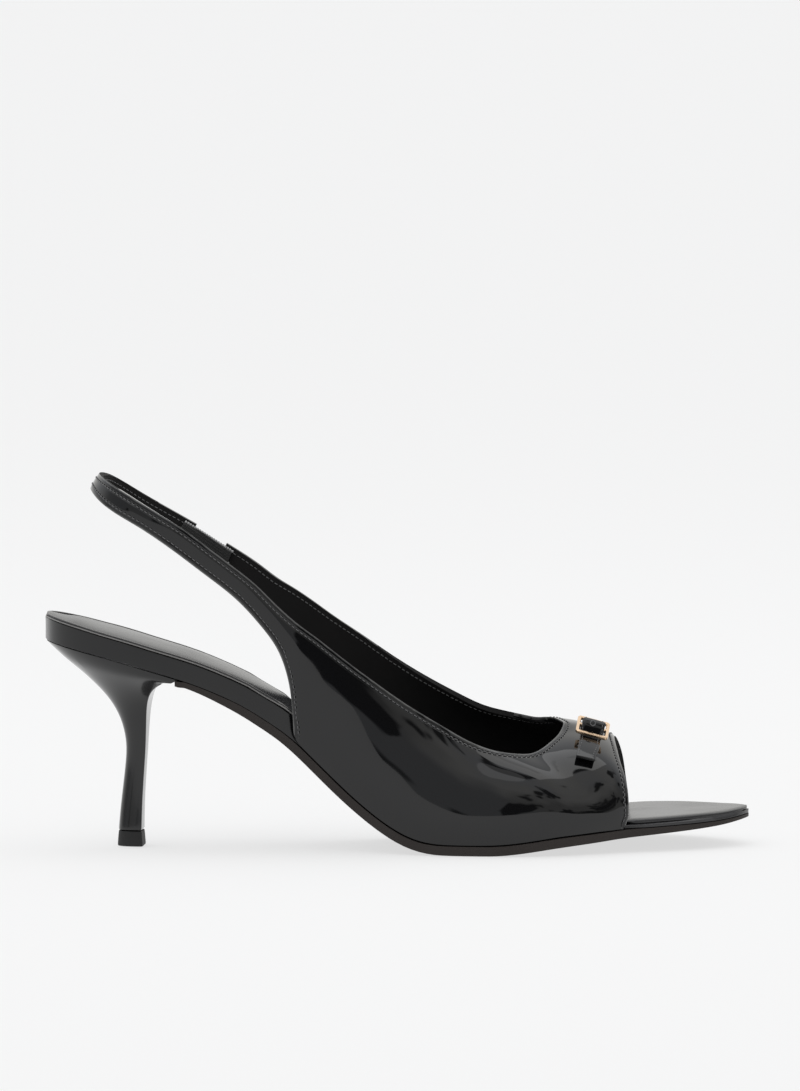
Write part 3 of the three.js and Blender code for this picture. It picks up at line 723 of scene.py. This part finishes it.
@dataclass
class Upper:
    """The vamp, quarters and sling: patent outside, lining inside, folded edges and their seams."""

    node: bpy.types.Object
    sole_nodes: tuple[bpy.types.Object, ...]
    fold: float = 0.5 * MM
    seam_inset: float = 1.75 * MM
    rim_spacing: float = 0.7 * MM
    feather_reach: float = 1.5 * MM
    foot_back: float = -75.0 * MM
    foot_front: float = 60.0 * MM
    foot_height: float = 12.0 * MM
    vamp_start: float = 40.0 * MM
    inward: float = -0.25
    sharp: float = 50.0
    thread: Thread = field(default_factory=Thread)
    creases: tuple[Crease, ...] = ()
    rim: list[Vector] = field(default_factory=list)
    outs: list[Vector] = field(default_factory=list)
    sewn: list[bool] = field(default_factory=list)

    def build(
        self, patent: bpy.types.Material, lining: bpy.types.Material, thread: bpy.types.Material
    ) -> None:
        """Builds the skin and its seams.

        Args:
            patent: the finish outside.
            lining: the finish inside.
            thread: the finish of the stitches.
        """
        skin = merged_copy(self.node, "upper_skin")
        outer = self._mark_sides(skin)
        self._find_rim(skin, outer)
        rounded(skin, self.sharp, self.fold, 2, 2)
        self._shape(skin)
        self._seam_distance(skin)
        finish_piece(skin, Slot.PATENT, (patent, lining), (self.node.name,))
        trails_out, trails_in = self._trails(skin)
        outside = self.thread.sew("upper_stitches_outside", trails_out)
        finish_piece(outside, Slot.PATENT, (thread,))
        inside = self.thread.sew("upper_stitches_inside", trails_in)
        finish_piece(inside, Slot.PATENT, (thread,))

    def _mark_sides(self, skin: bpy.types.Object) -> set[int]:
        """Gives the faces that look at the foot the second material.

        Args:
            skin: the copied upper.

        Returns:
            The numbers of the faces outside.
        """
        outer = set(smooth_regions(skin, self.sharp)[0])
        for polygon in skin.data.polygons:
            centre = polygon.center
            height = self.foot_height if centre.x > self.vamp_start else centre.z
            held = min(max(centre.x, self.foot_back), self.foot_front)
            facing = polygon.normal.dot((centre - Vector((held, 0.0, height))).normalized())
            polygon.material_index = 1 if facing < self.inward and polygon.index not in outer else 0
        return outer

    def _find_rim(self, skin: bpy.types.Object, outer: set[int]) -> None:
        """Follows the edge of the outer side all round and marks where it is sewn.

        Args:
            skin: the copied upper.
            outer: the numbers of the faces outside.
        """
        mesh = bmesh.new()
        mesh.from_mesh(skin.data)
        mesh.verts.ensure_lookup_table()
        links: dict[int, list[int]] = {}
        normals: dict[int, Vector] = {}
        for edge in mesh.edges:
            inside = [f for f in edge.link_faces if f.index in outer]
            if len(inside) != 1:
                continue
            for a, b in (edge.verts, reversed(edge.verts)):
                links.setdefault(a.index, []).append(b.index)
                normals[a.index] = normals.get(a.index, Vector()) + inside[0].normal
        start = min(links)
        order, seen = [start], {start}
        while True:
            onward = [n for n in links[order[-1]] if n not in seen]
            if not onward:
                break
            order.append(onward[0])
            seen.add(onward[0])
        points = [mesh.verts[i].co.copy() for i in order]
        ways = [normals[i].normalized() for i in order]
        mesh.free()
        self.rim = smooth_loop(points, self.rim_spacing)
        nearest = KDTree(len(points))
        for i, point in enumerate(points):
            nearest.insert(point, i)
        nearest.balance()
        self.outs = [ways[nearest.find(point)[1]] for point in self.rim]
        soles = [surface_tree(node) for node in self.sole_nodes]
        self.sewn = [
            min(tree.find_nearest(point)[3] for tree in soles) > self.feather_reach for point in self.rim
        ]

    def _shape(self, skin: bpy.types.Object) -> None:
        """Works the waves and creases of the leather into the skin."""
        kd = self._rim_tree()

        def away_from_edges(point: Vector) -> float:
            """Full a centimetre from every edge and nothing at the edge."""
            return min(1.0, kd.find(point)[2] / (9 * MM))

        pulled(skin, 0.16 * MM, 21 * MM, away_from_edges)
        skin.data.update()
        vertices = skin.data.vertices
        offsets = [v.normal * sum(crease.push(v.co) for crease in self.creases) for v in vertices]
        for vertex, offset in zip(vertices, offsets):
            vertex.co += offset
        skin.data.update()

    def _rim_tree(self, sewn_only: bool = False) -> KDTree:
        """A search tree over the points of the rim.

        Args:
            sewn_only: leaves out where the upper meets the sole.

        Returns:
            The tree, whose numbers are those of the rim's points.
        """
        chosen = [i for i in range(len(self.rim)) if self.sewn[i] or not sewn_only]
        tree = KDTree(len(chosen))
        for i in chosen:
            tree.insert(self.rim[i], i)
        tree.balance()
        return tree

    def _seam_distance(self, skin: bpy.types.Object) -> None:
        """Stores each vertex's distance from the sewn edges, in millimetres, for the finish."""
        tree = self._rim_tree(sewn_only=True)
        layer = skin.data.attributes.new("seam_distance", "FLOAT", "POINT")
        values = [tree.find(v.co)[2] / MM for v in skin.data.vertices]
        layer.data.foreach_set("value", values)

    def _trails(self, skin: bpy.types.Object) -> tuple[list[Trail], list[Trail]]:
        """Finds the lines of the seams on both sides of the leather.

        Args:
            skin: the finished skin.

        Returns:
            The trails outside and the trails inside.
        """
        surface = surface_tree(skin)
        tree = self._rim_tree()
        count = len(self.rim)
        side = self._inward_sign(surface)
        outside: list[Optional[tuple[Vector, Vector]]] = []
        inside: list[Optional[tuple[Vector, Vector]]] = []
        for i, (point, out) in enumerate(zip(self.rim, self.outs)):
            along = (self.rim[(i + 2) % count] - self.rim[i - 2]).normalized()
            inward = out.cross(along).normalized() * side
            guess = point + inward * self.seam_inset
            found, normal, _, _ = surface.find_nearest(guess)
            clear = tree.find(found)[2] > 0.8 * self.seam_inset and normal.dot(out) > 0.3
            outside.append((found, normal) if self.sewn[i] and clear else None)
            hit, back, _, _ = surface.ray_cast(found - normal * 0.3 * MM, -normal, 4 * MM)
            through = self.sewn[i] and clear and hit is not None and back.dot(normal) < -0.3
            inside.append((hit, back) if through else None)
        return self._runs(outside), self._runs(inside)

    def _inward_sign(self, surface: BVHTree) -> float:
        """Which way along the surface leads in from the rim: 1 or -1."""
        votes = 0.0
        count = len(self.rim)
        for i in range(0, count, 9):
            along = (self.rim[(i + 2) % count] - self.rim[i - 2]).normalized()
            inward = self.outs[i].cross(along).normalized()
            ahead = surface.find_nearest(self.rim[i] + inward * 3 * MM)[3]
            behind = surface.find_nearest(self.rim[i] - inward * 3 * MM)[3]
            votes += 1.0 if ahead < behind else -1.0
        return 1.0 if votes > 0 else -1.0

    @staticmethod
    def _runs(line: list[Optional[tuple[Vector, Vector]]]) -> list[Trail]:
        """Parts a line at its gaps.

        Args:
            line: a point and a way out, or None in a gap.

        Returns:
            A trail for each part that is long enough to sew.
        """
        first_gap = next((i for i, item in enumerate(line) if item is None), 0)
        turned = line[first_gap:] + line[:first_gap]
        trails: list[Trail] = []
        run: list[tuple[Vector, Vector]] = []
        for item in [*turned, None]:
            if item is not None:
                run.append(item)
                continue
            if len(run) > 6:
                trails.append(Trail(tuple(p for p, _ in run), tuple(n for _, n in run)))
            run = []
        return trails


@dataclass
class SlingElastic:
    """The short ribbed elastic between the sling and the inner quarter."""

    node: bpy.types.Object
    ribs: int = 7
    rib_radius: float = 0.3 * MM
    bead_radius: float = 0.48 * MM
    bead_pitch: float = 0.9 * MM
    steps: int = 60

    def build(self, elastic: bpy.types.Material, beads: bpy.types.Material) -> None:
        """Builds the band, its ribs on both faces and the beaded upper edge."""
        band = merged_copy(self.node, "elastic_band")
        rounded(band, 50.0, 0.25 * MM, 2, 1)
        finish_piece(band, Slot.ELASTIC, (elastic,), (self.node.name,))
        self._ribs(band, elastic, beads)

    def _ribs(
        self, band: bpy.types.Object, elastic: bpy.types.Material, bead_glint_finish: bpy.types.Material
    ) -> None:
        """Lays the ribs and beads along the band.

        Args:
            band: the finished band.
            elastic: its finish.
            bead_glint_finish: the finish of the woven edge, a pale grey that paints the glints of its beads.
        """
        points = np.array([v.co for v in band.data.vertices], float)
        middle = points.mean(0)
        _, _, axes = np.linalg.svd(points - middle, full_matrices=False)
        along, rise, out = (Vector(axis) for axis in axes)
        if along.x < 0:
            along = -along
        if rise.z < 0:
            rise = -rise
        if out.y < 0:
            out = -out
        tree = surface_tree(band)
        centre = Vector(middle)
        reach = max(abs((Vector(p) - centre).dot(along)) for p in points)
        half = max(abs((Vector(p) - centre).dot(rise)) for p in points)
        tubes: list[bpy.types.Object] = []
        for side in (-1.0, 1.0):
            for k in range(self.ribs):
                share = -1.0 + 2.0 * (k + 0.5) / self.ribs
                line: list[Vector] = []
                for i in range(self.steps + 1):
                    at = centre + along * reach * (2.0 * i / self.steps - 1.0) + rise * half * share
                    hit = tree.ray_cast(at + out * side * 0.02, -out * side)[0]
                    if hit is not None:
                        line.append(hit)
                if len(line) > 8:
                    tubes.append(tube(f"elastic_rib_{k}", line, self.rib_radius, False, 1))
        activate(tubes[0])
        for other in tubes[1:]:
            other.select_set(True)
        bpy.ops.object.join()
        cords = bpy.context.object
        cords.name = "elastic_cords"
        finish_piece(cords, Slot.ELASTIC, (elastic,))
        self._beads(tree, centre, along, rise, reach, bead_glint_finish)

    def _beads(
        self,
        tree: BVHTree,
        centre: Vector,
        along: Vector,
        rise: Vector,
        reach: float,
        finish: bpy.types.Material,
    ) -> None:
        """Sets a row of woven beads on the upper edge of the band.

        Args:
            tree: the band's search tree.
            centre: the middle of the band.
            along: the way along the band.
            rise: the way up across the band.
            reach: half the band's length.
            finish: the beads' material, whose pale grey is a painted highlight.
        """
        deselect_all()
        bpy.ops.mesh.primitive_uv_sphere_add(segments=8, ring_count=6, radius=self.bead_radius)
        bead = bpy.context.object
        place_in_mesh(bead)
        places: list[Matrix] = []
        count = int(2 * reach / self.bead_pitch)
        for i in range(count):
            at = centre + along * reach * (2.0 * (i + 0.5) / count - 1.0)
            hit = tree.ray_cast(at + rise * 0.02, -rise)[0]
            if hit is not None:
                places.append(Matrix.Translation(hit + rise * 0.5 * self.bead_radius))
        beads = joined_instances("elastic_beads", bead, places)
        finish_piece(beads, Slot.ELASTIC, (finish,))


# The bottom


@dataclass
class Bottom:
    """The sole, the covered insole board, the sock, the heel and its top piece."""

    nodes: dict[str, bpy.types.Object]
    bead: float = 0.24 * MM
    band: float = 0.95 * MM
    toe_start: float = 79.0 * MM
    waist: float = -33.0 * MM
    crown: float = 1.5 * MM
    crown_fade: float = 30.0 * MM
    crown_level: float = 0.3
    slice_reach: float = 3.0 * MM
    toe_drape: float = 0.5 * MM
    lip: float = 1.6 * MM

    def build(self, finishes: dict[str, bpy.types.Material]) -> None:
        """Builds the pieces of the bottom.

        Args:
            finishes: the materials by name.
        """
        sole = self._plain("outsole", "outsole_body", Slot.SOLE, finishes["sole"], 0.3 * MM, 1)
        end = min(vertex.co.x for vertex in sole.data.vertices)
        for vertex in sole.data.vertices:
            if vertex.co.x < end + self.lip:
                vertex.co.x -= self.lip
        board = self._plain("insole_board", "board_cover", Slot.PATENT, finishes["rand"], 0.35 * MM, 1)
        board.data.materials.append(finishes["sock"])
        for polygon in board.data.polygons:
            polygon.material_index = 1 if polygon.center.x > self.toe_start else 0
        self._plain("heel", "heel_cover", Slot.PATENT_HEEL, finishes["heel"], 0.3 * MM, 2)
        self._plain("top_piece", "top_piece_body", Slot.RUBBER, finishes["rubber"], 0.3 * MM, 1)
        sock = self._plain("insole_sock", "sock_pad", Slot.SOCK, finishes["sock"], 0.25 * MM, 1)
        self._crown(sock)
        self._beads(finishes["binding_highlight"])

    def _plain(
        self, node: str, name: str, slot: Slot, finish: bpy.types.Material, radius: float, levels: int
    ) -> bpy.types.Object:
        """Makes a smooth copy of a solid with rounded edges.

        Args:
            node: the solid's name.
            name: the piece's name.
            slot: the record's slot.
            finish: its material.
            radius: metres taken off at its edges.
            levels: how often it is subdivided.

        Returns:
            The piece.
        """
        piece = merged_copy(self.nodes[node], name)
        rounded(piece, 40.0, radius, 2, levels)
        finish_piece(piece, slot, (finish,), (node,))
        return piece

    def _crown(self, sock: bpy.types.Object) -> None:
        """Crowns the top of the sock and drapes its edge over the board at the toe.

        Args:
            sock: the finished sock.
        """
        vertices = sock.data.vertices
        points = np.array([vertex.co for vertex in vertices], float)
        stops = np.linspace(points[:, 0].min(), points[:, 0].max(), 80)
        near = [points[abs(points[:, 0] - stop) < self.slice_reach][:, 1] for stop in stops]
        lows = [row.min() for row in near]
        highs = [row.max() for row in near]
        tops = [vertex.normal.z > 0.5 for vertex in vertices]
        for vertex, top in zip(vertices, tops):
            low, high = np.interp(vertex.co.x, stops, lows), np.interp(vertex.co.x, stops, highs)
            middle, half = (low + high) / 2, max((high - low) / 2, MM)
            across = min(1.0, abs(vertex.co.y - middle) / half)
            fade = min(1.0, max(0.0, (self.toe_start - vertex.co.x) / self.crown_fade))
            if top:
                vertex.co.z += self.crown * fade * (self.crown_level - across**2)
            elif vertex.co.x > self.toe_start and across > 0.7:
                vertex.co.z -= self.toe_drape
        sock.data.update()

    def _beads(self, binding_highlight: bpy.types.Material) -> None:
        """Lays the two thin beads that bind the edge of the sock, in a pale finish that paints the light
        lines that the edge reflects.
        """
        copy = merged_copy(self.nodes["insole_sock"], "sock_edge")
        loop = boundary_loops(copy, 50.0)[0]
        points = [copy.data.vertices[i].co.copy() for i in loop]
        bpy.data.objects.remove(copy)
        line = smooth_loop(points, 1.2 * MM)
        first = max(range(len(line)), key=lambda i: line[i].x)
        line = [point for point in line[first:] + line[:first] if point.x < self.waist]
        middle = sum(line, Vector()) / len(line)
        lower, upper = [], []
        for i, point in enumerate(line):
            along = (line[min(i + 1, len(line) - 1)] - line[max(i - 1, 0)]).normalized()
            side = along.cross(UP).normalized()
            inward = side if side.dot(middle - point) > 0 else -side
            lower.append(point + UP * self.bead - inward * self.bead)
            upper.append(point + UP * self.band + inward * 0.4 * MM)
        for name, path in (("sock_bead_lower", lower), ("sock_bead_upper", upper)):
            piece = tube(name, path, self.bead, False)
            finish_piece(piece, Slot.SOCK, (binding_highlight,))


# The strap over the vamp


@dataclass
class VampStrap:
    """The narrow strap, its buckle, the tab under it, the border stitches and the eyelet."""

    nodes: dict[str, bpy.types.Object]
    border: float = 1.0 * MM
    eyelet_radius: float = 0.85 * MM
    eyelet_wire: float = 0.2 * MM
    eyelet_drop: float = 2.1 * MM
    thread: Thread = Thread(pitch=1.3 * MM, thickness=0.32 * MM, proud=0.08 * MM)

    def build(self, finishes: dict[str, bpy.types.Material]) -> None:
        """Builds the strap's pieces.

        Args:
            finishes: the materials by name.
        """
        strap = merged_copy(self.nodes["vamp_strap"], "vamp_strap_skin")
        rounded(strap, 60.0, 0.12 * MM, 1, 2)
        finish_piece(strap, Slot.PATENT, (finishes["strap"],), ("vamp_strap",))
        tab = merged_copy(self.nodes["buckle_tab"], "buckle_tab_skin")
        rounded(tab, 60.0, 0.1 * MM, 1, 1)
        finish_piece(tab, Slot.PATENT, (finishes["strap"],), ("buckle_tab",))
        buckle = merged_copy(self.nodes["buckle"], "buckle_frame")
        rounded(buckle, 30.0, 0.12 * MM, 2, 1)
        finish_piece(buckle, Slot.PALE_GOLD, (finishes["gold"],), ("buckle",))
        self._stitches(strap, finishes["thread"])
        self._eyelet(strap, finishes["thread"])

    def _stitches(self, strap: bpy.types.Object, finish: bpy.types.Material) -> None:
        """Sews both borders of the strap.

        Args:
            strap: the finished strap.
            finish: the thread's material.
        """
        tree = surface_tree(strap)
        low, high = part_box("vamp_strap")
        steps = 160
        trails: list[Trail] = []
        for side in (-1.0, 1.0):
            points: list[Vector] = []
            outs: list[Vector] = []
            for i in range(steps + 1):
                y = low.y + self.border + (high.y - low.y - 2 * self.border) * i / steps
                near = [v.co for v in strap.data.vertices if abs(v.co.y - y) < 0.6 * MM]
                if not near:
                    continue
                edge = min(c.x for c in near) if side < 0 else max(c.x for c in near)
                x = edge - side * self.border
                hit, normal, _, _ = tree.ray_cast(Vector((x, y, 0.1)), -UP)
                if hit is not None and normal.z > 0.2:
                    points.append(hit)
                    outs.append(normal)
            trails.append(Trail(tuple(points), tuple(outs)))
        stitches = self.thread.sew("vamp_strap_stitches", trails)
        finish_piece(stitches, Slot.PATENT, (finish,))

    def _eyelet(self, strap: bpy.types.Object, finish: bpy.types.Material) -> None:
        """Sets the ring of the strap's hole on its bulge over the centre bar.

        Args:
            strap: the finished strap.
            finish: the ring's material.
        """
        low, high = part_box("buckle")
        start = Vector(((low.x + high.x) / 2, low.y - 0.02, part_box("vamp_strap")[1].z - self.eyelet_drop))
        hit, normal, _, _ = surface_tree(strap).ray_cast(start, Vector((0.0, 1.0, 0.0)))
        deselect_all()
        bpy.ops.mesh.primitive_torus_add(
            major_radius=self.eyelet_radius,
            minor_radius=self.eyelet_wire,
            major_segments=24,
            minor_segments=8,
            location=hit,
            rotation=normal.to_track_quat("Z", "Y").to_euler(),
        )
        ring = bpy.context.object
        ring.name = "strap_eyelet"
        place_in_mesh(ring)
        bpy.ops.object.shade_smooth()
        # The ring takes the thread's finish, whose light grey is a painted highlight for its glints.
        finish_piece(ring, Slot.PATENT, (finish,))


# Main


@dataclass
class Studio:
    """A pale floor, soft lights and the camera."""

    target: Vector = field(default_factory=lambda: Vector((0.000788, -0.00158, 0.102)))
    eye: Vector = field(default_factory=lambda: Vector((0.000788, -3.00158, 0.323)))
    lens: float = 292.8
    sensor: float = 36.0
    floor_albedo: float = 0.3
    floor_glow: float = 0.645
    dim: float = 0.5
    pale: float = 0.92
    sun: float = 0.35
    sun_angle: float = 55.0

    def build(self) -> None:
        """Builds the whole studio."""
        self._camera()
        self._floor()
        self._world()
        self._lights()

    def _camera(self) -> None:
        """Sets the camera at the photograph's viewing angle."""
        data = bpy.data.cameras.new("camera")
        data.sensor_fit = "VERTICAL"
        data.sensor_height = self.sensor
        data.lens = self.lens
        data.clip_end = 50.0
        camera = bpy.data.objects.new("camera", data)
        camera.location = self.eye
        camera.rotation_euler = (self.target - self.eye).to_track_quat("-Z", "Y").to_euler()
        bpy.context.scene.collection.objects.link(camera)
        bpy.context.scene.camera = camera

    def _floor(self) -> None:
        """Lays a pale floor."""
        deselect_all()
        bpy.ops.mesh.primitive_plane_add(size=90.0, location=(0.0, 0.0, -0.0002))
        floor = bpy.context.object
        floor.name = "floor"
        place_in_mesh(floor)
        material = bpy.data.materials.new("pale_floor")
        material.use_nodes = True
        shader = material.node_tree.nodes["Principled BSDF"]
        shader.inputs["Base Color"].default_value = (*(self.floor_albedo,) * 3, 1.0)
        shader.inputs["Roughness"].default_value = 1.0
        shader.inputs["Specular IOR Level"].default_value = 0.0
        shader.inputs["Emission Color"].default_value = (1.0, 1.0, 1.0, 1.0)
        shader.inputs["Emission Strength"].default_value = self.floor_glow
        floor.data.materials.append(material)

    def _world(self) -> None:
        """Sets a surrounding that is pale behind the shoe and overhead, and dim behind the camera."""
        world = bpy.data.worlds.new("studio")
        world.use_nodes = True
        wire = Wiring(world.node_tree)
        way = wire.add("ShaderNodeTexCoord").outputs["Generated"]
        parts = wire.add("ShaderNodeSeparateXYZ", {0: way}).outputs
        clutter = wire.noise(way, 2.4, 2.0)
        swing = wire.math("MULTIPLY", wire.math("SUBTRACT", clutter, 0.5), 0.9)
        overhead = wire.span(wire.math("ADD", parts["Z"], swing), 0.3, 0.75, self.dim, self.pale)
        clear = wire.span(wire.noise(way, 3.4, 2.0), 0.54, 0.62, 1.0, 0.1)
        overhead = wire.math("MULTIPLY", overhead, clear)
        behind = wire.span(parts["Y"], 0.0, 0.4)
        levels = {0: behind, 2: overhead, 3: self.pale}
        level = wire.add("ShaderNodeMix", levels, data_type="FLOAT").outputs[0]
        warmth = wire.span(wire.noise(way, 1.3, 1.0), 0.4, 0.6)
        tints = {0: warmth, 6: (0.95, 0.97, 1.0, 1.0), 7: (1.0, 0.995, 0.97, 1.0)}
        tint = wire.add("ShaderNodeMix", tints, data_type="RGBA").outputs[2]
        background = world.node_tree.nodes["Background"]
        world.node_tree.links.new(tint, background.inputs["Color"])
        world.node_tree.links.new(level, background.inputs["Strength"])
        bpy.context.scene.world = world
        bpy.context.scene.view_settings.view_transform = "Standard"

    def _lights(self) -> None:
        """Hangs one broad soft light and a soft box overhead."""
        broad = bpy.data.lights.new("broad", "SUN")
        broad.energy = self.sun
        broad.angle = math.radians(self.sun_angle)
        self._hang(broad, Vector((-0.5, -0.6, 1.6)), Vector())
        rows = [
            ("overhead_strip", (0.1, 0.3, 1.5), (0.0, 0.0, 0.05), 1.5, 0.9, 4.0),
        ]
        for name, place, aim, width, height, power in rows:
            data = bpy.data.lights.new(name, "AREA")
            data.shape = "RECTANGLE"
            data.size = width
            data.size_y = height
            data.energy = power
            self._hang(data, Vector(place), Vector(aim))

    @staticmethod
    def _hang(data: bpy.types.Light, place: Vector, aim: Vector) -> None:
        """Puts a light at a place and points it at another."""
        light = bpy.data.objects.new(data.name, data)
        light.location = place
        light.rotation_euler = (aim - place).to_track_quat("-Z", "Y").to_euler()
        bpy.context.scene.collection.objects.link(light)


VAMP_CREASES = (
    Crease(((0.050, -0.030, 0.027), (0.058, -0.034, 0.020), (0.066, -0.036, 0.013)), 0.26 * MM, 4.0 * MM),
    Crease(((0.018, -0.034, 0.038), (0.030, -0.038, 0.029), (0.041, -0.040, 0.021)), -0.2 * MM, 5.0 * MM),
    Crease(((-0.024, -0.033, 0.052), (-0.014, -0.036, 0.043), (-0.006, -0.038, 0.035)), 0.24 * MM, 4.0 * MM),
    Crease(((0.000, -0.034, 0.046), (0.010, -0.038, 0.036), (0.016, -0.040, 0.026)), 0.18 * MM, 6.0 * MM),
)


def sewn_edge(wire: Wiring, place: bpy.types.NodeSocket) -> bpy.types.NodeSocket:
    """The height of a folded and sewn edge: a full border, and a furrow that the thread pulls in.

    Args:
        wire: the wiring of the material.
        place: the object coordinates.

    Returns:
        The height as a share of the finish's depth.
    """
    distance = wire.add("ShaderNodeAttribute", attribute_name="seam_distance").outputs["Fac"]
    border = wire.span(distance, 2.3, 1.7, 0.0, 0.5)
    away = wire.math("ABSOLUTE", wire.math("SUBTRACT", distance, 1.75))
    furrow = wire.span(away, 0.0, 0.7, -1.3, 0.0)
    return wire.math("ADD", border, furrow)


def paint_fold_highlight(material: bpy.types.Material) -> None:
    """Paints a highlight into the colour of the patent's folded edge, for the thin light line that the fold
    reflects.

    Args:
        material: the patent, whose colour is already linked.
    """
    wire = Wiring(material.node_tree)
    color = material.node_tree.nodes["Principled BSDF"].inputs["Base Color"]
    distance = wire.add("ShaderNodeAttribute", attribute_name="seam_distance").outputs["Fac"]
    # Painted highlight: a light grey mixed into the colour within about half a millimetre of the sewn edges
    # stands in for the light line along the fold.
    mask = wire.span(distance, 0.25, 0.65, 1.0, 0.0)
    links = {0: mask, 6: color.links[0].from_socket, 7: (0.12, 0.12, 0.118, 1.0)}
    mix = wire.add("ShaderNodeMix", links, data_type="RGBA")
    wire.tree.links.new(mix.outputs[2], color)


def build_finishes(groups: SurfaceGroups) -> dict[str, bpy.types.Material]:
    """Builds every finish of the sandal.

    Args:
        groups: the shared node groups.

    Returns:
        The materials by name.
    """
    black = (0.0035, 0.0035, 0.004)
    patent = Finish("patent_black", black, 0.04, haze=0.02, wave=0.6, grain=0.5)
    rows = {
        "strap": Finish("patent_strap", black, 0.05, haze=0.03, wave=0.3, grain=0.6),
        "rand": Finish("patent_rand", black, 0.17, haze=0.04, wave=0.15, grain=1.0),
        "heel": Finish("patent_heel", black, 0.13, haze=0.02, coat=0.15, wave=0.1, grain=0.3),
        "lining": Finish("matt_lining", (0.006, 0.0055, 0.0055), 0.75, grain=12.0, specular=0.25),
        "sock": Finish("satin_sock", (0.028, 0.028, 0.03), 0.24, haze=0.04, wave=0.3, grain=6.0),
        # The binding's pale grey is a painted highlight for the two light lines that the sock's bound edge
        # reflects.
        "binding_highlight": Finish("sock_binding_highlight", (0.2, 0.195, 0.19), 0.3, grain=6.0),
        "sole": Finish("brown_black_sole", (0.016, 0.011, 0.009), 0.6, haze=0.1, grain=25.0),
        "rubber": Finish("top_piece_rubber", (0.008, 0.008, 0.008), 0.65, haze=0.1, grain=16.0),
        "elastic": Finish("woven_elastic", (0.006, 0.006, 0.006), 0.5, grain=20.0, sheen=0.1),
        # The pale grey of the elastic's edge is a painted highlight for the glinting dots of its beads.
        "beads": Finish("elastic_edge_glint", (0.35, 0.35, 0.35), 0.3, grain=8.0),
        # Black thread given a light grey: a painted highlight for the glints on its stitches; the strap's
        # eyelet ring takes this finish too.
        "thread": Finish("black_thread_painted_glint", (0.11, 0.11, 0.112), 0.3, grain=6.0),
        "gold": Finish(
            "pale_gold", (0.9, 0.66, 0.45), 0.18, haze=0.1, metallic=1.0, grain=0.5, variation=0.05
        ),
    }
    made = {name: finish.build(groups) for name, finish in rows.items()}
    made["patent"] = patent.build(groups, sewn_edge)
    paint_fold_highlight(made["patent"])
    return made


def main() -> None:
    """Loads the solids, dresses them and sets the scene."""
    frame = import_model()
    nodes = frame["nodes"]
    finishes = build_finishes(SurfaceGroups())
    Bottom(nodes).build(finishes)
    upper = Upper(nodes["upper"], (nodes["outsole"], nodes["insole_board"]), creases=VAMP_CREASES)
    upper.build(finishes["patent"], finishes["lining"], finishes["thread"])
    SlingElastic(nodes["elastic_gore"]).build(finishes["elastic"], finishes["beads"])
    VampStrap(nodes).build(finishes)
    Studio().build()


if __name__ == "__main__":
    main()
